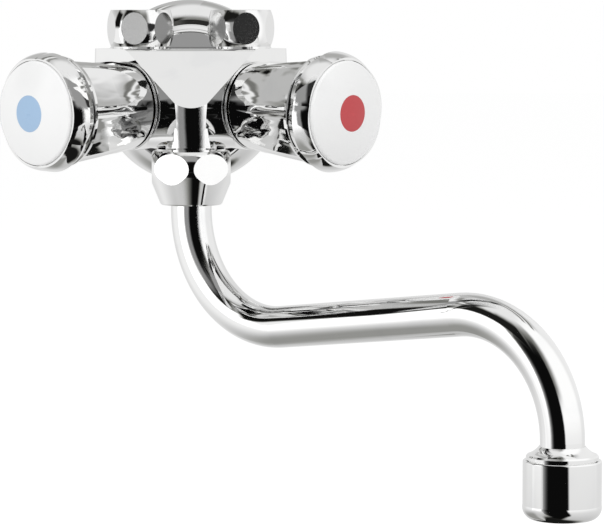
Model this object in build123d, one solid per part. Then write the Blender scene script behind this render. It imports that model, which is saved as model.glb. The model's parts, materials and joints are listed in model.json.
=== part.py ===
from build123d import *
from math import cos, pi, radians, sin, sqrt, tan
import os

# Wall-mounted mixer with two handles and a swivel spout, in millimetres.
# The origin is the axis of the wall thread where it meets the wall.
# X is to the user's right, Y goes into the wall and Z is up.

# Standard sizes
half_inch_thread_r = 10.48
wall_thread_r = 10.45
three_quarter_thread_r = 13.2
riser_pipe_r = 6.1
spout_tube_r = 7.85
spout_tube_wall = 1.1

# Body
spout_axis_y = -58.0
front_corner_y = -73.5
outer_edge_radius = 4.0
underside_radius = 6.0
column_axis_y = -55.07
column_r = 13.8
column_foot_r = 13.2
column_flare_z = -6.0
column_foot_top_z = -12.0
column_half_width = 6.2
column_foot_half_width = 7.6
spout_boss_r = 10.0
deck_z = 17.9
underside_z = -20.4
arm_half_width = 19.6
arm_top_taper = 0.7
body_back_y = -18.0
facet_tip_z = -4.2
facet_slope = 1.12
facet_rounding = 4.0
tail_r = 14.0
tail_end_y = -9.0

# Handle axes: 45 degrees to each side, with a slight fall towards the user
handle_turn = 45.0
handle_fall = 1.7
face_centre_x = 25.05
face_centre_z = -4.15

# The round step on the body that the handle turns on, round the handle's axis
boss_r = 17.2
boss_bore_r = 14.6
boss_depth = 8.0
boss_height = 0.5

# Valve chamber, measured along the handle axis from the body's face
chamber_r = 10.0
chamber_depth = 19.5
bonnet_depth = 9.0
bonnet_bore_r = 7.6
seat_height = 0.98
seat_orifice_r = 5.6
seat_rim_r = 7.2
manifold_r = 8.5

# Union nuts on the deck
riser_x = 19.6
riser_y = -34.0
riser_nut_across_flats = 24.0
riser_nut_r = 13.1
riser_nut_bottom_z = 18.7
riser_nut_top_z = 32.9
riser_nut_arc_r = 18.0
riser_nut_turns = {-1: -10.8, 1: 9.0}
riser_nipple_top_z = 27.0
riser_shoulder_z = 29.6

# Spout nut
spout_nut_across_flats = 30.2
spout_nut_r = 16.9
spout_nut_widest_z = -27.5
spout_nut_upper_arc_r = 10.4
spout_nut_lower_arc_r = 8.0
spout_nut_top_z = -20.9
spout_nut_bottom_z = -41.6
spout_nut_cone_angle = 21.4
spout_nipple_end_z = -33.4

# Spout, drawn swung 45 degrees to the user's right of straight ahead
spout_swing = 45.0
spout_reach = 182.0
first_corner_z = -91.45
second_corner_z = -68.9
first_bend_r = 42.4
second_bend_r = 41.4
spout_top_z = -24.5
spout_mouth_z = -121.0

# Aerator
aerator_r = 13.8
aerator_top_z = -122.1
aerator_bottom_z = -142.7
aerator_thread_r = 12.0
aerator_thread_end_z = -129.3
aerator_insert_top_z = -130.9

# Handle, measured along its axis from the body's face
grip_start = 1.5
grip_base_r = 16.9
grip_end = 36.0
grip_end_r = 21.3
grip_bore_r = 14.4
flute_count = 6
flute_r = 40.0
flute_start = 15.8
flute_end = 34.6
flute_floor_start = 16.7
flute_floor_end = 18.3
groove_r = 5.0
groove_start = 5.0
groove_depth = 0.9
rim_widest = 40.6
rim_front = 46.9
rim_lobe_r = 23.0
rim_crease_r = 22.4
cap_r = 19.8
cap_edge = 47.6
cap_apex = 51.0
dot_r = 6.9
cold_rim_turn = 28.0
hot_rim_turn = 52.0

# Wall rosette
rosette_r = 36.8
rosette_depth = 14.0
rosette_hub_r = 25.4
rosette_bore_r = 14.3
rosette_sheet = 1.0


def turned(*points):
    """A solid of revolution about Z from (radius, height) corners."""
    profile = make_face(Polyline(*[(r, 0, z) for r, z in points], close=True))
    return revolve(profile, Axis.Z)


def ring(outer_r, inner_r, low, high):
    """A plain tube about Z."""
    return turned((inner_r, low), (outer_r, low), (outer_r, high), (inner_r, high))


def rod(radius, low, high):
    """A plain cylinder about Z between two heights."""
    return Pos(0, 0, low) * Cylinder(radius, high - low, align=(Align.CENTER, Align.CENTER, Align.MIN))


def hexagon(across_flats, low, high, turn=0.0):
    """A hexagonal prism about Z, with one flat facing -Y before it is turned."""
    outline = RegularPolygon(across_flats / 2, 6, major_radius=False, rotation=turn)
    return Pos(0, 0, low) * extrude(outline, high - low)


def rod_between(start, end, radius):
    """A cylinder from one point to another."""
    direction = Vector(*end) - Vector(*start)
    return Plane(origin=start, z_dir=direction) * rod(radius, 0, direction.length)


def handle_plane(side):
    """Local frame of a handle: Z along its axis, outwards, and Y upwards."""
    level = cos(radians(handle_fall))
    out = Vector(side * level * sin(radians(handle_turn)), -level * cos(radians(handle_turn)),
                 -sin(radians(handle_fall)))
    across = Vector(cos(radians(handle_turn)), side * sin(radians(handle_turn)), 0)
    face_y = front_corner_y + face_centre_x
    return Plane(origin=(side * face_centre_x, face_y, face_centre_z), x_dir=across, z_dir=out)


def along_handle(side, distance):
    """A point on a handle's axis, at a distance out from the body's face."""
    plane = handle_plane(side)
    return plane.origin + plane.z_dir * distance


wall_plane = Plane(origin=(0, 0, 0), x_dir=(1, 0, 0), z_dir=(0, -1, 0))
spout_axis = Pos(0, spout_axis_y, 0)


def body_plan(height, half_width, inset=0.0):
    """Outline of the block at one height: a square on its corner, cut off at the back."""
    lean = (height - face_centre_z) * tan(radians(handle_fall))
    front = -front_corner_y + (lean - inset) * sqrt(2)
    side = (half_width - inset) * sqrt(2) + front_corner_y + 2 * face_centre_x
    right = [(0, -front), ((side + front) / 2, (side - front) / 2), (side - body_back_y, body_back_y)]
    left = [(-x, y) for x, y in reversed(right[1:])]
    outline = make_face(Polyline(*right, *left, close=True))
    corners = [v for v in outline.vertices() if abs(v.X) > half_width]
    return Pos(0, 0, height) * fillet(corners, outer_edge_radius)


def column_round():
    """The wide round that the front corner is trimmed to, drawn in a little towards its foot."""
    above = deck_z + 2
    top = (column_r, 0, column_flare_z)
    foot = (column_foot_r, 0, underside_z)
    side = TangentArc(top, foot, tangent=(0, 0, -1))
    rest = Polyline(foot, (0, 0, underside_z), (0, 0, above), (column_r, 0, above), top)
    return Pos(0, column_axis_y, 0) * revolve(make_face([side, rest]), Axis.Z)


def column_foot():
    """The foot of the column, which stays upright where the block's underside is rounded away."""
    corners = [(column_foot_half_width, underside_z), (column_half_width, column_foot_top_z)]
    corners += [(-x, z) for x, z in reversed(corners)]
    front_y = column_axis_y - column_r - 1
    slab = extrude(make_face(Polyline(*[(x, front_y, z) for x, z in corners], close=True)), 16, dir=(0, 1, 0))
    return (column_round() & slab) + spout_axis * rod(spout_boss_r, underside_z, column_foot_top_z)


def body_block():
    """The block below the deck, with a rounded underside and the column of the spout in front."""
    above = deck_z + 2
    shoulder = 11.0
    block = loft([body_plan(shoulder, arm_half_width), body_plan(above, arm_half_width - arm_top_taper)],
                 ruled=True)
    rounding_top = underside_z + underside_radius
    block += loft([body_plan(rounding_top, arm_half_width), body_plan(shoulder, arm_half_width)], ruled=True)
    levels = [(underside_radius * (1 - sin(a)), underside_radius * (1 - cos(a)))
              for a in (radians(step) for step in (0, 20, 40, 60, 78))]
    block += loft([body_plan(underside_z + height, arm_half_width, inset) for height, inset in levels])
    corner = Pos(0, column_axis_y - column_r, 0) * Box(17, 18, 3 * above)
    block -= corner - column_round()
    block += column_foot()
    boss = rod(boss_r, -boss_depth, boss_height)
    boss = fillet(boss.edges().group_by(Axis.Z)[-1], boss_height * 0.9) - rod(boss_bore_r, 0, boss_height)
    for side in (-1, 1):
        block += handle_plane(side) * boss
    return block


def body_top_cutter():
    """The space above the deck and the sloping front facet, with a rounded edge between them."""
    front_y = column_axis_y - column_r
    edge_y = front_y + (deck_z - facet_tip_z) / facet_slope
    far = 60.0
    low = (0, edge_y - far, deck_z - far * facet_slope)
    edge = FilletPolyline(low, (0, edge_y, deck_z), (0, far, deck_z), radius=facet_rounding)
    rest = Polyline((0, far, deck_z), (0, far, far), (0, edge_y - far, far), low)
    profile = make_face(edge.edges() + rest.edges())
    return Pos(-far, 0, 0) * extrude(profile, 2 * far, dir=(1, 0, 0))


def body_waterways():
    """Chambers, seats and passages: supply to both seats, and the cold chamber to the spout."""
    manifold = along_handle(1, -face_centre_x * sqrt(2))
    ways = Pos(manifold) * Sphere(manifold_r)
    ways += rod_between(manifold, (0, body_back_y - 1, 0), 7.4)
    ways += wall_plane * rod(half_inch_thread_r + 0.02, -tail_end_y - 1, 20.0)
    for side in (-1, 1):
        mouth = rod(half_inch_thread_r + 0.02, -bonnet_depth, 5)
        room = rod(chamber_r, -chamber_depth, -bonnet_depth)
        seat = ring(seat_rim_r, seat_orifice_r - 0.5, -chamber_depth - 1, -chamber_depth + seat_height)
        orifice = rod(seat_orifice_r, -face_centre_x * sqrt(2), -chamber_depth + seat_height + 0.5)
        ways += handle_plane(side) * (mouth + (room - seat) + orifice)
        riser = rod(4.6, 2.0, deck_z + 1) + rod(riser_pipe_r, deck_z, riser_nipple_top_z + 1)
        ways += Pos(side * riser_x, riser_y, 0) * riser
    ways += spout_axis * (rod(9.8, spout_nipple_end_z - 1, -23.4) + rod(6.5, -24, -6.5))
    mix = along_handle(-1, -13.0)
    ways += rod_between((0, spout_axis_y, -10.5), (mix.X, mix.Y, -8.0), 4.0)
    return ways


def mixer_body():
    block = body_block() - body_top_cutter()
    block += wall_plane * rod(tail_r, -tail_end_y, 30.0)
    for side in (-1, 1):
        thread = turned((0, deck_z - 1), (half_inch_thread_r, deck_z - 1),
                        (half_inch_thread_r, riser_nipple_top_z - 0.8),
                        (half_inch_thread_r - 0.8, riser_nipple_top_z), (0, riser_nipple_top_z))
        block += Pos(side * riser_x, riser_y, 0) * thread
    block += spout_axis * rod(three_quarter_thread_r, spout_nipple_end_z, underside_z + 0.3)
    return block - body_waterways()


def wall_rosette():
    """A spun cover: rim, dome, step and a flat hub with the hole for the body's tail."""
    t = rosette_sheet
    d = rosette_depth
    outer = [Line((rosette_r, 0, 0), (rosette_r, 0, 1.4)),
             ThreePointArc((rosette_r, 0, 1.4), (34.2, 0, 6.0), (28.9, 0, 9.0)),
             Polyline((28.9, 0, 9.0), (27.0, 0, 9.3), (26.4, 0, 10.4), (rosette_hub_r, 0, 10.9),
                      (rosette_hub_r, 0, d - 1.8)),
             ThreePointArc((rosette_hub_r, 0, d - 1.8), (24.9, 0, d - 0.5), (23.6, 0, d))]
    inner = [Polyline((23.6, 0, d), (rosette_bore_r, 0, d), (rosette_bore_r, 0, d - t), (23.4, 0, d - t)),
             Line((23.4, 0, d - t), (rosette_hub_r - t, 0, d - 2.4)),
             Polyline((rosette_hub_r - t, 0, d - 2.4), (rosette_hub_r - t, 0, 10.1), (25.8, 0, 9.6),
                      (26.4, 0, 8.4), (28.3, 0, 8.0)),
             ThreePointArc((28.3, 0, 8.0), (33.3, 0, 5.3), (rosette_r - t, 0, 1.0)),
             Polyline((rosette_r - t, 0, 1.0), (rosette_r - t, 0, 0), (rosette_r, 0, 0))]
    return wall_plane * revolve(make_face(outer + inner), Axis.Z)


def rosette_grip_ring():
    """Rubber ring on the body's tail, behind the rosette's hub."""
    return wall_plane * ring(17.5, tail_r, rosette_depth - rosette_sheet - 2.0, rosette_depth - rosette_sheet)


def wall_nipple():
    """Threaded tail: one end in the wall, the other in the body, with a collar between them."""
    r = half_inch_thread_r
    wall_r = wall_thread_r
    tail = turned((7.4, -14), (wall_r - 1, -14), (wall_r, -13), (wall_r, 0), (11.8, 0), (11.8, 2.6), (r, 2.6),
                  (r, 18.4), (8.4, 18.4), (8.4, 16.9), (7.4, 16.9))
    return wall_plane * tail


def wall_lock_nut():
    nut = hexagon(27, 2.7, 8.2) - rod(half_inch_thread_r + 0.02, 0, 10)
    return wall_plane * (nut & turned((0, 2.7), (14.0, 2.7), (15.6, 3.6), (15.6, 7.3), (14.0, 8.2), (0, 8.2)))


def wall_seal():
    """Rubber ring round the tail, pressed against the wall."""
    return wall_plane * ring(16.0, 11.9, 0, 2.6)


def inlet_strainer():
    """A sieve in the inlet, with its holes in a hexagonal pattern."""
    disc = rod(8.35, 16.95, 18.35)
    holes = [Pos(x, y, 0) * rod(0.8, 16, 19) for x, y in hexagonal_grid(2.4, 2)]
    return wall_plane * (disc - holes)


def hexagonal_grid(pitch, rings):
    """Centres of a hexagonal pattern with the given number of rings round the middle one."""
    centres = []
    for row in range(-rings, rings + 1):
        length = 2 * rings + 1 - abs(row)
        for step in range(length):
            centres.append(((step - (length - 1) / 2) * pitch, row * pitch * sqrt(3) / 2))
    return centres


def riser_union_nut(side):
    """Barrel-shaped nut with six flats, and a shoulder with the hole for the riser pipe."""
    middle = (riser_nut_bottom_z + riser_nut_top_z) / 2
    half = (riser_nut_top_z - riser_nut_bottom_z) / 2
    end_r = riser_nut_r - riser_nut_arc_r + sqrt(riser_nut_arc_r ** 2 - half ** 2)
    top = riser_nut_top_z
    bottom = riser_nut_bottom_z
    barrel = ThreePointArc((end_r, 0, bottom), (riser_nut_r, 0, middle), (end_r, 0, top))
    sides = Polyline((end_r, 0, top), (0, 0, top), (0, 0, bottom), (end_r, 0, bottom))
    nut = revolve(make_face(barrel + sides), Axis.Z)
    nut = nut & hexagon(riser_nut_across_flats, bottom, top, turn=riser_nut_turns[side])
    nut -= rod(half_inch_thread_r + 0.03, bottom - 1, riser_shoulder_z)
    nut -= rod(riser_pipe_r + 0.1, bottom, top + 1)
    nut -= turned((0, top - 0.8), (riser_pipe_r, top - 0.8), (riser_pipe_r + 1.2, top + 0.2), (0, top + 0.2))
    return Pos(side * riser_x, riser_y, 0) * nut


def riser_seal(side):
    seal = ring(half_inch_thread_r - 0.3, riser_pipe_r, riser_nipple_top_z, riser_nipple_top_z + 1.5)
    return Pos(side * riser_x, riser_y, 0) * seal


def riser_compression_ring(side):
    low = riser_nipple_top_z + 1.5
    high = riser_shoulder_z
    band = turned((riser_pipe_r, low), (half_inch_thread_r - 0.3, low), (half_inch_thread_r - 0.3, low + 0.5),
                  (8.6, high), (riser_pipe_r, high))
    return Pos(side * riser_x, riser_y, 0) * band


def spout_nut():
    """Nut whose barrel runs into a cone, with six flats in teardrop outlines."""
    angle = radians(spout_nut_cone_angle)
    r = spout_nut_r
    widest_z = spout_nut_widest_z
    top_r = r - spout_nut_upper_arc_r + sqrt(spout_nut_upper_arc_r ** 2 - (spout_nut_top_z - widest_z) ** 2)
    upper = TangentArc((r, 0, widest_z), (top_r, 0, spout_nut_top_z), tangent=(0, 0, 1))
    join_r = r - spout_nut_lower_arc_r * (1 - cos(angle))
    join_z = widest_z - spout_nut_lower_arc_r * sin(angle)
    lower = TangentArc((r, 0, widest_z), (join_r, 0, join_z), tangent=(0, 0, -1))
    bottom_r = join_r - (join_z - spout_nut_bottom_z) * tan(angle)
    sides = Polyline((top_r, 0, spout_nut_top_z), (0, 0, spout_nut_top_z), (0, 0, spout_nut_bottom_z),
                     (bottom_r - 0.5, 0, spout_nut_bottom_z), (bottom_r, 0, spout_nut_bottom_z + 0.5),
                     (join_r, 0, join_z))
    nut = revolve(make_face(upper.edges() + lower.edges() + sides.edges()), Axis.Z)
    nut = nut & hexagon(spout_nut_across_flats, spout_nut_bottom_z, spout_nut_top_z, turn=30)
    nut -= rod(three_quarter_thread_r + 0.05, -34.6, spout_nut_top_z + 1)
    nut -= rod(12.3, -38.5, -34)
    nut -= rod(spout_tube_r + 0.4, spout_nut_bottom_z - 1, -38)
    return spout_axis * nut


def spout_slip_ring():
    """Plastic ring in the nut, under the flange of the spout's bush."""
    return spout_axis * ring(12.2, spout_tube_r + 0.3, -38.5, -36.25)


def spout_collar():
    """Bush on the tube's upper end: two grooves and a flange."""
    r = 9.72
    groove = 8.45
    bore = spout_tube_r + 0.02
    return spout_axis * turned((bore, -24.2), (r - 0.4, -24.2), (r, -24.6), (r, -26.1), (groove, -26.1),
                               (groove, -27.7), (r, -27.7), (r, -29.7), (groove, -29.7), (groove, -31.3),
                               (r, -31.3), (r, -33.7), (11.6, -33.7), (11.6, -36.1), (bore, -36.1))


def spout_seals():
    """The two O-rings in the bush's grooves."""
    rings = [Pos(0, 0, z) * Torus(9.12, 0.65) for z in (-26.9, -30.5)]
    return spout_axis * Compound(children=rings)


def spout_point(reach, height):
    """A point in the spout's plane, which is turned from the X axis towards the user."""
    swing = radians(spout_swing)
    return (reach * cos(swing), spout_axis_y - reach * sin(swing), height)


def rounded_path(points, radii):
    """Straight runs through the points, joined by tangent arcs with the given radii."""
    pieces = []
    start = Vector(*points[0])
    for before, corner, after, radius in zip(points, points[1:], points[2:], radii):
        way_in = (Vector(*corner) - Vector(*before)).normalized()
        way_out = (Vector(*after) - Vector(*corner)).normalized()
        setback = radius * tan(radians(way_in.get_angle(way_out)) / 2)
        bend_start = Vector(*corner) - way_in * setback
        bend_end = Vector(*corner) + way_out * setback
        pieces.append(Line(start, bend_start))
        pieces.append(TangentArc(bend_start, bend_end, tangent=way_in))
        start = bend_end
    pieces.append(Line(start, points[-1]))
    return Wire([edge for piece in pieces for edge in piece.edges()])


def spout_tube():
    """S-shaped tube: down, along a gently rising run, and down again."""
    corners = [spout_point(0, spout_top_z), spout_point(0, first_corner_z),
               spout_point(spout_reach, second_corner_z), spout_point(spout_reach, spout_mouth_z)]
    path = rounded_path(corners, (first_bend_r, second_bend_r))
    start = Plane(origin=path @ 0, z_dir=path % 0)
    section = start * (Circle(spout_tube_r) - Circle(spout_tube_r - spout_tube_wall))
    return sweep(section, path)


def at_mouth(shape):
    """Move a shape on the spout's axis to the spout's mouth."""
    return Pos(*spout_point(spout_reach, 0)) * shape


def spout_end():
    """Flared end on the tube, with the thread for the aerator."""
    bore = spout_tube_r + 0.02
    top = -117.3
    thread = aerator_thread_r
    low = aerator_thread_end_z
    outer = [ThreePointArc((bore + 0.3, 0, top), (9.9, 0, -119.0), (12.2, 0, -120.2)),
             Polyline((12.2, 0, -120.2), (12.7, 0, -120.8), (12.7, 0, -121.9), (thread, 0, -121.9),
                      (thread, 0, low + 0.6), (thread - 0.6, 0, low), (8.5, 0, low), (8.5, 0, spout_mouth_z),
                      (bore, 0, spout_mouth_z), (bore, 0, top), (bore + 0.3, 0, top))]
    return at_mouth(revolve(make_face(outer), Axis.Z))


def aerator_shell():
    r = aerator_r
    top = aerator_top_z
    bottom = aerator_bottom_z
    bore = aerator_thread_r + 0.05
    outer = [Polyline((bore, 0, top), (r - 0.6, 0, top)),
             ThreePointArc((r - 0.6, 0, top), (r - 0.18, 0, top - 0.18), (r, 0, top - 0.6)),
             Line((r, 0, top - 0.6), (r, 0, bottom + 5.0)),
             ThreePointArc((r, 0, bottom + 5.0), (r - 0.75, 0, bottom + 1.5), (r - 2.6, 0, bottom)),
             Polyline((r - 2.6, 0, bottom), (10.4, 0, bottom), (10.4, 0, bottom + 1.4),
                      (bore, 0, bottom + 1.4), (bore, 0, top))]
    return at_mouth(revolve(make_face(outer), Axis.Z))


def aerator_insert():
    """Flow straightener: a cup with a hexagonal pattern of holes in its floor."""
    low = aerator_bottom_z + 1.4
    cup = rod(11.9, low, aerator_insert_top_z) - rod(10.4, low + 3.0, aerator_insert_top_z + 1)
    holes = [Pos(x, y, 0) * rod(1.05, low - 1, low + 4) for x, y in hexagonal_grid(2.9, 3)]
    return at_mouth(cup - holes)


def aerator_seal():
    return at_mouth(ring(11.8, 8.6, aerator_insert_top_z, aerator_thread_end_z))


def bonnet(side):
    """Headwork: thread in the body, hexagon, and a neck with the gland for the spindle."""
    barrel = rod(half_inch_thread_r, -bonnet_depth, 0.8)
    nut = hexagon(24.0, 0.8, 6.8) & turned((0, 0), (13.6, 0), (13.6, 5.8), (12.6, 6.8), (0, 6.8))
    neck = turned((0, 6), (8.0, 6), (8.0, 19.2), (7.2, 20.0), (0, 20.0))
    solid = barrel + nut + neck
    solid -= rod(bonnet_bore_r, -bonnet_depth - 1, 10.0)
    solid -= rod(4.0, 9, 21)
    return handle_plane(side) * solid


def bonnet_gasket(side):
    return handle_plane(side) * ring(12.0, half_inch_thread_r + 0.05, 0, 0.8)


def spindle(side):
    """Stem with a collar under the gland and a thread that drives the plunger."""
    stem = turned((0, -7.0), (3.0, -7.0), (3.5, -6.5), (3.5, 6.2), (6.2, 6.2), (6.2, 9.8), (3.95, 9.8),
                  (3.95, 12.2), (2.95, 12.2), (2.95, 13.4), (3.95, 13.4), (3.95, 15.8), (2.95, 15.8),
                  (2.95, 17.0), (3.95, 17.0), (3.95, 20.2), (3.2, 20.2), (3.2, 21.3), (3.95, 21.3),
                  (3.95, 34.0), (3.5, 34.5), (0, 34.5))
    return handle_plane(side) * (stem - rod(2.5, 23.0, 35.0))


def spindle_seals(side):
    rings = [Pos(0, 0, z) * Torus(3.45, 0.49) for z in (12.8, 16.4)]
    return handle_plane(side) * Compound(children=rings)


def spindle_clip(side):
    """Spring clip in the stem's groove, open on one side."""
    clip = ring(5.8, 3.25, 20.25, 21.25) - Pos(4.5, 0, 20.75) * Box(5, 4, 3)
    return handle_plane(side) * clip


def plunger(side):
    """Threaded plunger that the spindle draws off the seat, with a stub for its washer."""
    solid = rod(7.52, -15.0, -1.0) - rod(3.55, -13.0, 0)
    return handle_plane(side) * (solid + rod(2.0, -18.0, -14.5))


def seat_washer(side):
    low = -chamber_depth + seat_height + 0.02
    return handle_plane(side) * (rod(7.3, low, -15.0) - rod(2.02, -18.02, -14))


def grip_flute():
    """Cutter for one flute: a shallow scoop with a round end, deeper near the body."""
    slope = (flute_floor_end - flute_floor_start) / (flute_end - flute_start)
    axis = Plane(origin=(flute_floor_start + flute_r, 0, flute_start), x_dir=(0, 1, 0), z_dir=(slope, 0, 1))
    scoop = axis * (Sphere(flute_r) + rod(flute_r, 0, flute_end))
    return scoop & (Pos(flute_floor_start, 0, 0) * Box(24, 24, 2 * flute_end))


def grip_groove():
    """Cutter for one narrow groove: pointed near the body and deepest at the rim."""
    flare = (grip_end_r - grip_base_r) / (grip_end - grip_start - 0.5)
    end_r = grip_base_r + flare * (flute_end - grip_start - 0.5)
    start_r = grip_base_r + flare * (groove_start - grip_start - 0.5)
    return rod_between((start_r + groove_r, 0, groove_start), (end_r + groove_r - groove_depth, 0, flute_end),
                       groove_r)


def grip(side):
    """Fluted, flaring handle shell with a web that takes the spindle."""
    edge = 0.5
    outer = [ThreePointArc((grip_base_r - edge, 0, grip_start),
                           (grip_base_r - edge * 0.29, 0, grip_start + edge * 0.29),
                           (grip_base_r, 0, grip_start + edge)),
             Polyline((grip_base_r, 0, grip_start + edge), (grip_end_r, 0, grip_end), (18.6, 0, grip_end),
                      (18.6, 0, 44.0), (16.5, 0, 44.0), (16.5, 0, 35.2), (3.97, 0, 35.2), (3.97, 0, 26.0),
                      (7.5, 0, 26.0), (7.5, 0, 30.0), (13.0, 0, 30.0), (grip_bore_r, 0, 27.0),
                      (grip_bore_r, 0, grip_start), (grip_base_r - edge, 0, grip_start))]
    shell = revolve(make_face(outer), Axis.Z)
    pitch = 360 / flute_count
    for step in range(flute_count):
        shell -= Rot(0, 0, pitch * (step + 0.5)) * grip_flute()
        shell -= Rot(0, 0, pitch * step) * grip_groove()
    return handle_plane(side) * shell


def lobed_outline(height, scale_factor):
    """Closed outline of six shallow lobes with creases between them."""
    arcs = []
    step = 2 * pi / flute_count
    for k in range(flute_count):
        ends = [(rim_crease_r * scale_factor * cos(a), rim_crease_r * scale_factor * sin(a), height)
                for a in (k * step, (k + 1) * step)]
        middle = (k + 0.5) * step
        top = (rim_lobe_r * scale_factor * cos(middle), rim_lobe_r * scale_factor * sin(middle), height)
        arcs.append(ThreePointArc(ends[0], top, ends[1]))
    return make_face(arcs)


def rim(side, turn):
    """Bevelled rim with six lobes, round the front of the grip."""
    back = loft([lobed_outline(grip_end, 0.905), lobed_outline(rim_widest, 1.0)], ruled=True)
    depth = rim_front - rim_widest
    levels = ((0.0, 1.0), (0.35, 0.984), (0.7, 0.954), (1.0, 0.908))
    front = loft([lobed_outline(rim_widest + share * depth, scale) for share, scale in levels])
    solid = back + front
    solid -= rod(18.62, grip_end - 1, rim_front)
    solid -= rod(cap_r + 0.2, 44.0, rim_front + 1)
    return handle_plane(side) * (Rot(0, 0, turn) * solid)


def cap_blank():
    """Domed cap, hollow behind, with a ring that clips into the grip."""
    rise = cap_apex - cap_edge
    dome_r = (cap_r ** 2 + rise ** 2) / (2 * rise)
    inner_rise_r = 17.0
    inner_z = cap_apex - 2.0 - (dome_r - sqrt(dome_r ** 2 - inner_rise_r ** 2))
    edge_r = cap_r - 1.0
    edge_z = cap_apex - (dome_r - sqrt(dome_r ** 2 - edge_r ** 2))
    half_r = edge_r / 2
    half_z = cap_apex - (dome_r - sqrt(dome_r ** 2 - half_r ** 2))
    dome = ThreePointArc((0, 0, cap_apex), (half_r, 0, half_z), (edge_r, 0, edge_z))
    edge = ThreePointArc((edge_r, 0, edge_z), (cap_r - 0.18, 0, edge_z - 0.62), (cap_r, 0, edge_z - 1.5))
    rest = Polyline((cap_r, 0, edge_z - 1.5), (cap_r, 0, 44.2), (16.3, 0, 44.2), (16.3, 0, 37.0),
                    (15.0, 0, 37.0), (15.0, 0, inner_z), (0, 0, inner_z), (0, 0, cap_apex))
    return revolve(make_face(dome + edge + rest), Axis.Z)


def dot_blank(radius):
    return rod(radius, cap_apex - 1.4, cap_apex + 1)


def cap(side):
    return handle_plane(side) * (cap_blank() - dot_blank(dot_r + 0.03))


def dot(side):
    return handle_plane(side) * (cap_blank() & dot_blank(dot_r))


def handle_screw(side):
    """Cheese-head screw that holds the grip on the spindle, with a cross slot."""
    screw = rod(4.4, 35.2, 38.4) + rod(2.48, 25.0, 35.2)
    slot = Pos(0, 0, 38.0) * (Box(5.6, 1.0, 2.0) + Box(1.0, 5.6, 2.0))
    return handle_plane(side) * (screw - slot)


parts = {
    "mixer_body": mixer_body(),
    "wall_rosette": wall_rosette(),
    "rosette_grip_ring": rosette_grip_ring(),
    "wall_nipple": wall_nipple(),
    "wall_lock_nut": wall_lock_nut(),
    "wall_seal": wall_seal(),
    "inlet_strainer": inlet_strainer(),
    "spout_nut": spout_nut(),
    "spout_slip_ring": spout_slip_ring(),
    "spout_collar": spout_collar(),
    "spout_seals": spout_seals(),
    "spout_tube": spout_tube(),
    "spout_end": spout_end(),
    "aerator_shell": aerator_shell(),
    "aerator_insert": aerator_insert(),
    "aerator_seal": aerator_seal(),
}

for name, side in (("left", -1), ("right", 1)):
    parts[name + "_union_nut"] = riser_union_nut(side)
    parts[name + "_union_seal"] = riser_seal(side)
    parts[name + "_compression_ring"] = riser_compression_ring(side)

for name, side, rim_turn in (("cold", -1, cold_rim_turn), ("hot", 1, hot_rim_turn)):
    parts[name + "_bonnet"] = bonnet(side)
    parts[name + "_bonnet_gasket"] = bonnet_gasket(side)
    parts[name + "_spindle"] = spindle(side)
    parts[name + "_spindle_seals"] = spindle_seals(side)
    parts[name + "_spindle_clip"] = spindle_clip(side)
    parts[name + "_plunger"] = plunger(side)
    parts[name + "_seat_washer"] = seat_washer(side)
    parts[name + "_grip"] = grip(side)
    parts[name + "_rim"] = rim(side, rim_turn)
    parts[name + "_cap"] = cap(side)
    parts[name + "_dot"] = dot(side)
    parts[name + "_handle_screw"] = handle_screw(side)

os.makedirs("parts", exist_ok=True)
for name, shape in parts.items():
    export_step(shape, "parts/" + name + ".step")
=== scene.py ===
import json
import math
import bmesh
import bpy
from mathutils import Matrix, Vector

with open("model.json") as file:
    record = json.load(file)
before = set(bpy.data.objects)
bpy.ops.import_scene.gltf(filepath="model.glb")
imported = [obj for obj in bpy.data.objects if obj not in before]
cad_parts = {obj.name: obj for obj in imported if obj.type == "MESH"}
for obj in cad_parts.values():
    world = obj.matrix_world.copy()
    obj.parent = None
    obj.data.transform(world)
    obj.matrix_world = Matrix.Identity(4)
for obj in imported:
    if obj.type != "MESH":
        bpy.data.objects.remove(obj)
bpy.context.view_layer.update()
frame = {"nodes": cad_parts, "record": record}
nodes = frame["nodes"]
scene = bpy.context.scene

# The photograph's frame and the point that its view is built on
image_width = 604
image_height = 525
spout_axis_pixel_x = 191.5
horizon_pixel_y = -10.0
focal_pixels = 3108.0
camera_distance = 1.2
camera_height = 0.04097
spout_axis_y = -0.058
sensor_width = 36.0

# The studio. The tent's cards take on a slightly warm tint below a brightness, as the photo's blacks do.
floor_z = -0.40
floor_reach = 12.0
floor_paint = 0.9
floor_glow = 0.50
room_light = 0.55
tent_centre = Vector((0.03, -0.11, -0.05))
tent_radius = 0.35
tent_wall = 0.80
dark_tint = (1.0, 1.0, 0.93, 1.0)
dark_below = 0.7

# The lamps: name, place, size of the square and power in watts
lamp_aim = (0, -0.05, 0)
lamps = (
    ("softbox_left", (-0.9, -0.9, 0.9), 0.9, 11.0),
    ("softbox_right", (1.0, -0.6, 0.8), 0.9, 7.0),
)


def make_camera():
    """A level camera in front of the spout's axis, looking slightly down and to the right."""
    aim = Vector((image_width / 2 - spout_axis_pixel_x, focal_pixels,
                  horizon_pixel_y - image_height / 2)).normalized()
    right = aim.cross(Vector((0, 0, 1))).normalized()
    up = right.cross(aim)
    data = bpy.data.cameras.new("camera")
    data.sensor_fit = 'HORIZONTAL'
    data.sensor_width = sensor_width
    slant = math.hypot(focal_pixels, image_height / 2 - horizon_pixel_y)
    data.lens = slant / image_width * sensor_width
    camera = bpy.data.objects.new("camera", data)
    scene.collection.objects.link(camera)
    place = Vector((0, spout_axis_y - camera_distance, camera_height))
    turn = Matrix((right, up, -aim)).transposed().to_4x4()
    camera.matrix_world = Matrix.Translation(place) @ turn
    scene.camera = camera


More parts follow.
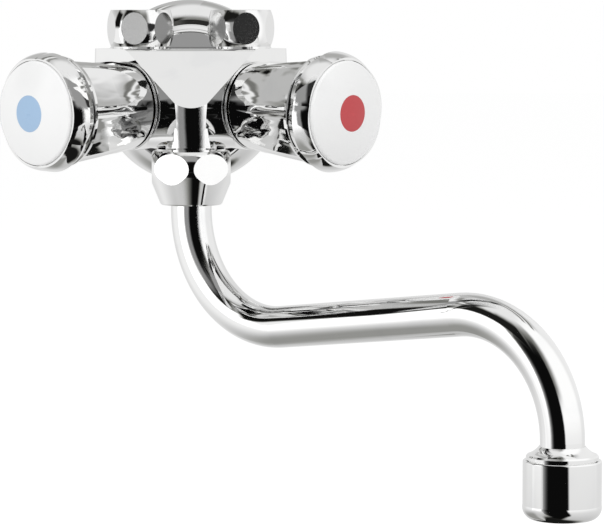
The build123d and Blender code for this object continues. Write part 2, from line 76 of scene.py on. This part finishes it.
class Nodes:
    """Short calls for building a node tree."""

    def __init__(self, tree):
        self.tree = tree
        tree.nodes.clear()

    def new(self, kind, **settings):
        node = self.tree.nodes.new(kind)
        for key, value in settings.items():
            setattr(node, key, value)
        return node

    def feed(self, socket, value):
        if isinstance(value, bpy.types.NodeSocket):
            self.tree.links.new(value, socket)
        else:
            socket.default_value = value

    def maths(self, operation, *values, clamp=False):
        node = self.new("ShaderNodeMath", operation=operation, use_clamp=clamp)
        for socket, value in zip(node.inputs, values):
            self.feed(socket, value)
        return node.outputs[0]

    def step(self, value, low, high):
        """0 below low, 1 above high and smooth between them."""
        node = self.new("ShaderNodeMapRange", interpolation_type='SMOOTHSTEP')
        self.feed(node.inputs["Value"], value)
        node.inputs["From Min"].default_value = low
        node.inputs["From Max"].default_value = high
        return node.outputs[0]

    def mix(self, share, first, second):
        """Blends two numbers."""
        node = self.new("ShaderNodeMix", data_type='FLOAT')
        self.feed(node.inputs[0], share)
        self.feed(node.inputs[2], first)
        self.feed(node.inputs[3], second)
        return node.outputs[0]

    def mix_colour(self, share, first, second):
        node = self.new("ShaderNodeMix", data_type='RGBA')
        self.feed(node.inputs[0], share)
        self.feed(node.inputs[6], first)
        self.feed(node.inputs[7], second)
        return node.outputs[2]


    def show(self, surface, kind="ShaderNodeOutputMaterial"):
        """Connects a shader to the tree's output."""
        self.feed(self.new(kind).inputs["Surface"], surface)

    def pick(self, share, first, second):
        """Blends two shaders."""
        node = self.new("ShaderNodeMixShader")
        for socket, value in zip(node.inputs, (share, first, second)):
            self.feed(socket, value)
        return node.outputs[0]

    def glow(self, strength):
        node = self.new("ShaderNodeEmission")
        node.inputs["Strength"].default_value = strength
        return node.outputs[0]


def new_material(name):
    """A new material, and the short calls for its node tree."""
    material = bpy.data.materials.new(name)
    material.use_nodes = True
    return material, Nodes(material.node_tree)


def new_object(name, corners=(), faces=()):
    """A new mesh object in the scene."""
    mesh = bpy.data.meshes.new(name)
    mesh.from_pydata(corners, [], faces)
    made = bpy.data.objects.new(name, mesh)
    scene.collection.objects.link(made)
    return made


def rectangle(left, right, low, high):
    """The corners of an upright or level sheet, each a pair of numbers."""
    return [(left, low), (right, low), (right, high), (left, high)]


def grey(value):
    return (value, value, value, 1.0)


# What stands round the object in the studio, as seen from the middle of the tent. Azimuth 0 is behind
# the object, 90 is to the right, 180 is the camera's side. Each card: its left and right azimuths, its
# lowest and highest elevations, how soft its four edges are in degrees, and its brightness.
cards = (
    ("ceiling", (-1, 361, 64, 91), (1, 1, 20, 1), 0.92),
    ("back wall", (255, 361, 26, 62), (20, 1, 10, 16), 0.55),
    ("back corner", (-1, 92, 40, 64), (1, 16, 14, 16), 0.46),
    ("right wall", (36, 96, -14, 46), (36, 1, 26, 18), 0.95),
    ("right softbox", (90, 160, -14, 68), (20, 14, 26, 16), 1.15),
    ("floor", (-1, 361, -91, -38), (1, 1, 1, 36), 0.60),
    ("dark floor", (258, 342, -91, -42), (30, 24, 1, 28), 0.33),
    ("left fill", (262, 312, -24, 22), (12, 36, 18, 12), 1.0),
    ("right louvre", (40, 100, 51, 55), (10, 6, 3, 3), 0.2),
    ("right upper louvre", (40, 100, 60, 64), (10, 6, 3, 3), 0.25),
    ("left louvre", (262, 335, 45, 49), (6, 10, 3, 3), 0.2),
    ("left upper louvre", (262, 335, 55, 59), (6, 10, 3, 3), 0.3),
    ("left light strip", (262, 335, 50, 53.5), (6, 10, 2, 2), 0.95),
    ("right light strip", (40, 100, 56, 59), (10, 6, 2, 2), 0.95),
    ("front wall", (153, 231, 6, 60), (22, 8, 14, 24), 0.24),
    ("front column", (168, 191, 8, 46), (16, 8, 8, 16), 0.05),
    ("left softbox", (230, 272, -18, 25), (7, 3, 28, 4), 1.5),
    ("hanging flag", (195, 264, 27, 56), (8, 12, 4, 12), 0.012),
    ("small flag", (268, 289, 13, 37), (4, 6, 6, 5), 0.006),
    ("camera low", (150, 205, -64, -28), (12, 50, 12, 14), 0.004),
    ("under the camera", (-1, 216, -91, -57), (1, 30, 1, 12), 0.01),
)

# Black and grey boards between the camera and the object, out of the camera's sight. Each board: how far
# forward it stands, its left and right edges, its foot and its top, how soft its four edges are, and its
# brightness. Their sides lean to the right by this much for each metre down.
boards = (
    ("far_board", -0.343, (-0.225, 0.115, -0.40, 0.12), (0.30, 0.02, 0.02, 0.16), 0.004),
    ("near_board", -0.16, (-0.042, 0.068, -0.055, 0.05), (0.024, 0.065, 0.005, 0.10), 0.004),
    ("near_left_board", -0.162, (-0.105, -0.01, -0.055, 0.05), (0.05, 0.01, 0.005, 0.10), 0.30),
    ("hub_board", -0.118, (-0.03, 0.03, 0.004, 0.05), (0.012, 0.012, 0.008, 0.006), 0.34),
    ("right_nut_board", -0.12, (0.025, 0.12, 0.012, 0.046), (0.006, 0.02, 0.004, 0.006), 0.03),
    ("left_nut_board", -0.12, (-0.13, -0.025, 0.012, 0.046), (0.02, 0.006, 0.004, 0.006), 0.80),
)
board_lean = 0.3
board_margin_across = 0.12
board_margin_up = 0.1


def card_mask(n, azimuth, elevation, edges, soft):
    """How much of a card lies in a direction, from 0 to 1."""
    left, right, low, high = edges
    inside = (n.step(azimuth, left - soft[0] / 2, left + soft[0] / 2),
              n.step(azimuth, right + soft[1] / 2, right - soft[1] / 2),
              n.step(elevation, low - soft[2] / 2, low + soft[2] / 2),
              n.step(elevation, high + soft[3] / 2, high - soft[3] / 2))
    across = n.maths('MULTIPLY', inside[0], inside[1])
    along = n.maths('MULTIPLY', inside[2], inside[3])
    return n.maths('MULTIPLY', across, along)


def tent_material():
    """Light from the tent's wall: a pale wall with the cards on it."""
    material, n = new_material("light_tent")
    material.cycles.emission_sampling = 'NONE'
    unit = n.new("ShaderNodeVectorMath", operation='NORMALIZE')
    n.feed(unit.inputs[0], n.new("ShaderNodeTexCoord").outputs["Object"])
    split = n.new("ShaderNodeSeparateXYZ")
    n.feed(split.inputs[0], unit.outputs[0])
    turn = n.maths('ARCTAN2', split.outputs["X"], split.outputs["Y"])
    azimuth = n.maths('WRAP', n.maths('DEGREES', turn), 360.0, 0.0)
    elevation = n.maths('DEGREES', n.maths('ARCSINE', split.outputs["Z"]))
    light = tent_wall
    for name, edges, soft, brightness in cards:
        light = n.mix(card_mask(n, azimuth, elevation, edges, soft), light, brightness)
    emission = n.new("ShaderNodeEmission")
    n.feed(emission.inputs["Color"], n.mix_colour(n.step(light, 0.0, dark_below), dark_tint, grey(1.0)))
    n.feed(emission.inputs["Strength"], light)
    n.show(emission.outputs[0])
    return material


def only_seen_by(obj, camera=False, diffuse=False, glossy=False, shadow=False):
    obj.visible_camera = camera
    obj.visible_diffuse = diffuse
    obj.visible_glossy = glossy
    obj.visible_transmission = glossy
    obj.visible_shadow = shadow
    obj.visible_volume_scatter = False


def make_tent():
    """A round tent that only polished surfaces see."""
    tent = new_object("light_tent")
    made = bmesh.new()
    bmesh.ops.create_uvsphere(made, u_segments=96, v_segments=48, radius=tent_radius)
    made.to_mesh(tent.data)
    made.free()
    tent.location = tent_centre
    tent.data.materials.append(tent_material())
    only_seen_by(tent, glossy=True)


def make_board(name, forward, edges, soft, brightness):
    """An upright board that only polished surfaces see, clear beyond its soft edges."""
    left, right, low, high = edges
    outline = rectangle(left - board_margin_across, right + board_margin_across,
                        low - board_margin_up, high + board_margin_up)
    board = new_object(name, [(x, forward, z) for x, z in outline], [(0, 1, 2, 3)])
    material, n = new_material(name)
    split = n.new("ShaderNodeSeparateXYZ")
    n.feed(split.inputs[0], n.new("ShaderNodeTexCoord").outputs["Object"])
    height = split.outputs["Z"]
    across = n.maths('MULTIPLY_ADD', height, board_lean, split.outputs["X"])
    inside = card_mask(n, across, height, edges, soft)
    clear = n.new("ShaderNodeBsdfTransparent").outputs[0]
    n.show(n.pick(inside, clear, n.glow(brightness)))
    board.data.materials.append(material)
    only_seen_by(board, glossy=True)


def make_floor():
    """A wide pale floor that takes the object's shadow, and looks white to the camera."""
    outline = rectangle(-floor_reach, floor_reach, -floor_reach, floor_reach)
    floor = new_object("floor", [(x, y, 0) for x, y in outline], [(0, 1, 2, 3)])
    floor.location = (0, 0, floor_z)
    material, n = new_material("pale_floor")
    paint = n.new("ShaderNodeBsdfDiffuse")
    paint.inputs["Color"].default_value = grey(floor_paint)
    both = n.new("ShaderNodeAddShader")
    n.feed(both.inputs[0], paint.outputs[0])
    n.feed(both.inputs[1], n.glow(floor_glow))
    seen = n.new("ShaderNodeLightPath").outputs["Is Camera Ray"]
    n.show(n.pick(seen, paint.outputs[0], both.outputs[0]))
    floor.data.materials.append(material)
    only_seen_by(floor, camera=True, diffuse=True, shadow=True)


def make_world():
    """Soft light from all round, and a white background for what the camera and reflections see."""
    world = bpy.data.worlds.new("studio")
    scene.world = world
    world.use_nodes = True
    n = Nodes(world.node_tree)
    seen = n.new("ShaderNodeLightPath")
    directly = n.maths('MAXIMUM', seen.outputs["Is Camera Ray"], seen.outputs["Is Glossy Ray"])
    directly = n.maths('MAXIMUM', directly, seen.outputs["Is Transmission Ray"])
    lights = []
    for strength in (room_light, 1.0):
        background = n.new("ShaderNodeBackground")
        background.inputs["Color"].default_value = grey(1.0)
        background.inputs["Strength"].default_value = strength
        lights.append(background.outputs[0])
    n.show(n.pick(directly, *lights), "ShaderNodeOutputWorld")


def softbox(name, place, size, power):
    """A square lamp that reflections don't show."""
    data = bpy.data.lights.new(name, 'AREA')
    data.shape = 'SQUARE'
    data.size = size
    data.energy = power
    lamp = bpy.data.objects.new(name, data)
    scene.collection.objects.link(lamp)
    lamp.location = place
    lamp.rotation_euler = (Vector(lamp_aim) - Vector(place)).to_track_quat('-Z', 'Y').to_euler()
    lamp.visible_glossy = False
    lamp.visible_camera = False


class Finish(Nodes):
    """A surface material: a principled shader whose roughness, colour and bumps come from noise."""

    def __init__(self, name, metallic=0.0, **values):
        self.material = bpy.data.materials.new(name)
        self.material.use_nodes = True
        super().__init__(self.material.node_tree)
        self.shader = self.new("ShaderNodeBsdfPrincipled")
        self.shader.inputs["Metallic"].default_value = metallic
        for key, value in values.items():
            self.shader.inputs[key].default_value = value
        self.show(self.shader.outputs[0])
        self.coordinates = self.new("ShaderNodeTexCoord")
        self.relief = None

    def noise(self, size, stretch=(1.0, 1.0, 1.0), detail=2.0, warp=0.0, place=None):
        """Noise from 0 to 1 whose features are about size metres across."""
        scaled = self.new("ShaderNodeVectorMath", operation='MULTIPLY')
        self.feed(scaled.inputs[0], place or self.coordinates.outputs["Object"])
        scaled.inputs[1].default_value = [1.0 / (size * share) for share in stretch]
        node = self.new("ShaderNodeTexNoise")
        self.feed(node.inputs["Vector"], scaled.outputs[0])
        node.inputs["Scale"].default_value = 1.0
        node.inputs["Detail"].default_value = detail
        node.inputs["Distortion"].default_value = warp
        return node.outputs["Fac"]

    def bump(self, height, depth):
        """Adds a relief of this depth in metres over the ones before."""
        node = self.new("ShaderNodeBump")
        node.inputs["Distance"].default_value = depth
        self.feed(node.inputs["Height"], height)
        if self.relief is not None:
            self.feed(node.inputs["Normal"], self.relief)
        self.relief = node.outputs[0]
        self.feed(self.shader.inputs["Normal"], self.relief)

    def colour(self, share, first, second):
        self.feed(self.shader.inputs["Base Color"], self.mix_colour(share, (*first, 1.0), (*second, 1.0)))

    def roughness(self, value):
        self.feed(self.shader.inputs["Roughness"], value)


def chrome(name, wave_size, wave_depth, peel_depth, polish=0.03):
    """Bright plating: long waves left by polishing, orange peel, water marks and hairline scratches."""
    n = Finish(name, metallic=1.0)
    marks = n.step(n.noise(0.014, detail=4.0, warp=0.6), 0.52, 0.72)
    hairs = n.step(n.noise(0.0016, stretch=(1.0, 0.06, 1.6), detail=3.0), 0.66, 0.74)
    haze = n.maths('MULTIPLY_ADD', marks, 0.022, polish)
    n.roughness(n.maths('MULTIPLY_ADD', hairs, 0.035, haze))
    n.colour(marks, (0.862, 0.862, 0.858), (0.832, 0.834, 0.834))
    n.bump(n.noise(wave_size, detail=1.0), wave_depth)
    n.bump(n.noise(0.0011, detail=2.0), peel_depth)
    return n


def handle_chrome(name):
    """Bright plating over a casting that was polished lengthwise: long, uneven, liquid streaks."""
    n = chrome(name, 0.012, 0.00003, 0.0000010)
    split = n.new("ShaderNodeSeparateXYZ")
    n.feed(split.inputs[0], n.coordinates.outputs["Object"])
    side = n.maths('ABSOLUTE', split.outputs["X"])
    lengthwise = n.new("ShaderNodeCombineXYZ")
    n.feed(lengthwise.inputs[0], n.maths('SUBTRACT', side, split.outputs["Y"]))
    n.feed(lengthwise.inputs[1], n.maths('ADD', side, split.outputs["Y"]))
    n.feed(lengthwise.inputs[2], split.outputs["Z"])
    streaks = n.noise(0.0055, stretch=(4.0, 1.4, 1.0), detail=1.0, warp=0.5, place=lengthwise.outputs[0])
    n.bump(streaks, 0.00034)
    return n


def union_nut_chrome(name, turn):
    """Bright plating on the barrel and fine upright brushing on the six flats."""
    n = chrome(name, 0.006, 0.00003, 0.0000012)
    split = n.new("ShaderNodeSeparateXYZ")
    n.feed(split.inputs[0], n.coordinates.outputs["Normal"])
    facing = n.maths('ARCTAN2', split.outputs["X"], n.maths('MULTIPLY', split.outputs["Y"], -1.0))
    from_flat = n.maths('WRAP', n.maths('SUBTRACT', n.maths('DEGREES', facing), turn), 30.0, -30.0)
    upright = n.step(n.maths('ABSOLUTE', split.outputs["Z"]), 0.012, 0.004)
    flat = n.maths('MULTIPLY', n.step(n.maths('ABSOLUTE', from_flat), 0.9, 0.4), upright)
    grain = n.noise(0.00022, stretch=(1.0, 1.0, 24.0), detail=3.0)
    patches = n.noise(0.004, detail=3.0)
    polished = n.shader.inputs["Roughness"].links[0].from_socket
    satin = n.maths('MULTIPLY_ADD', grain, 0.10, n.maths('MULTIPLY_ADD', patches, 0.04, 0.05))
    n.roughness(n.mix(flat, polished, satin))
    n.bump(n.maths('MULTIPLY', grain, flat), 0.0000035)
    return n


def cap_plastic(name):
    """White moulded plastic with a soft gloss, faint flow marks and a little handling haze."""
    n = Finish(name, **{"IOR": 1.5})
    flow = n.noise(0.012, detail=3.0, warp=1.2)
    n.colour(flow, (0.905, 0.905, 0.90), (0.885, 0.888, 0.89))
    n.roughness(n.maths('MULTIPLY_ADD', n.noise(0.006, detail=4.0), 0.12, 0.16))
    n.bump(n.noise(0.0018, detail=2.0), 0.0000025)
    return n


def dot_enamel(name, colour, deep):
    """A coloured disc with the fine grain and uneven gloss of a printed insert."""
    n = Finish(name, **{"IOR": 1.48})
    n.colour(n.noise(0.0009, detail=4.0), colour, deep)
    n.roughness(n.maths('MULTIPLY_ADD', n.noise(0.003, detail=3.0), 0.14, 0.26))
    n.bump(n.noise(0.0004, detail=2.0), 0.0000025)
    return n


def turned_brass(name):
    """Machined brass: tool lines and darker tarnish in patches."""
    n = Finish(name, metallic=1.0)
    tarnish = n.step(n.noise(0.004, detail=5.0, warp=0.5), 0.42, 0.68)
    n.colour(tarnish, (0.80, 0.62, 0.32), (0.56, 0.39, 0.19))
    lines = n.noise(0.00035, stretch=(6.0, 1.0, 6.0), detail=2.0)
    n.roughness(n.maths('MULTIPLY_ADD', tarnish, 0.18, n.maths('MULTIPLY_ADD', lines, 0.12, 0.18)))
    n.bump(lines, 0.000006)
    return n


def seal_rubber(name):
    """Black moulded rubber with a dry bloom and a fine grain."""
    n = Finish(name, **{"IOR": 1.5})
    bloom = n.step(n.noise(0.003, detail=5.0), 0.45, 0.75)
    n.colour(bloom, (0.018, 0.018, 0.019), (0.055, 0.055, 0.056))
    n.roughness(n.maths('MULTIPLY_ADD', bloom, 0.2, 0.5))
    n.bump(n.noise(0.0003, detail=3.0), 0.00001)
    return n


def nylon(name):
    """Milky moulded nylon, a little light coming through it, with a fine matt grain."""
    n = Finish(name, **{"IOR": 1.53, "Subsurface Weight": 0.15, "Subsurface Scale": 0.002})
    n.colour(n.noise(0.004, detail=3.0), (0.83, 0.83, 0.79), (0.75, 0.75, 0.71))
    n.roughness(n.maths('MULTIPLY_ADD', n.noise(0.0008, detail=3.0), 0.2, 0.38))
    n.bump(n.noise(0.0005, detail=2.0), 0.000006)
    return n


def machined_steel(name):
    """Stainless steel with fine tool lines and uneven haze."""
    n = Finish(name, metallic=1.0)
    lines = n.noise(0.0003, stretch=(8.0, 1.0, 8.0), detail=3.0)
    n.colour(n.noise(0.003, detail=4.0), (0.62, 0.62, 0.61), (0.50, 0.50, 0.49))
    n.roughness(n.maths('MULTIPLY_ADD', lines, 0.2, 0.2))
    n.bump(lines, 0.000004)
    return n


scene.view_settings.view_transform = 'Standard'
make_camera()
make_tent()
for board in boards:
    make_board(*board)
make_floor()
make_world()
for lamp in lamps:
    softbox(*lamp)

finishes = {
    "body_chrome": chrome("cast_chrome", 0.016, 0.00006, 0.0000016),
    "rosette_chrome": chrome("pressed_chrome", 0.020, 0.00005, 0.0000008),
    "nut_chrome": chrome("turned_chrome", 0.009, 0.00002, 0.0000008),
    "spout_chrome": chrome("tube_chrome", 0.030, 0.00003, 0.0000006),
    "handle_chrome": handle_chrome("handle_chrome"),
    "cap_white": cap_plastic("cap_plastic"),
    "dot_blue": dot_enamel("blue_enamel", (0.372, 0.528, 0.728), (0.345, 0.505, 0.705)),
    "dot_red": dot_enamel("red_enamel", (0.555, 0.066, 0.074), (0.515, 0.056, 0.064)),
    "brass": turned_brass("turned_brass"),
    "seal_rubber": seal_rubber("seal_rubber"),
    "white_nylon": nylon("white_nylon"),
    "steel": machined_steel("machined_steel"),
}

# How far each union nut is turned from having a flat straight ahead, in degrees
left_nut_turn = -10.8
right_nut_turn = 9.0

rim_finish = chrome("rim_chrome", 0.014, 0.00002, 0.0000006)
own_finishes = {
    "cold_rim": rim_finish,
    "hot_rim": rim_finish,
    "left_union_nut": union_nut_chrome("left_nut_chrome", left_nut_turn),
    "right_union_nut": union_nut_chrome("right_nut_chrome", right_nut_turn),
}
for row in frame["record"]["subparts"]:
    finish = own_finishes.get(row["node"], finishes[row["material_slot"]])
    obj = nodes[row["node"]]
    obj.data.materials.clear()
    obj.data.materials.append(finish.material)
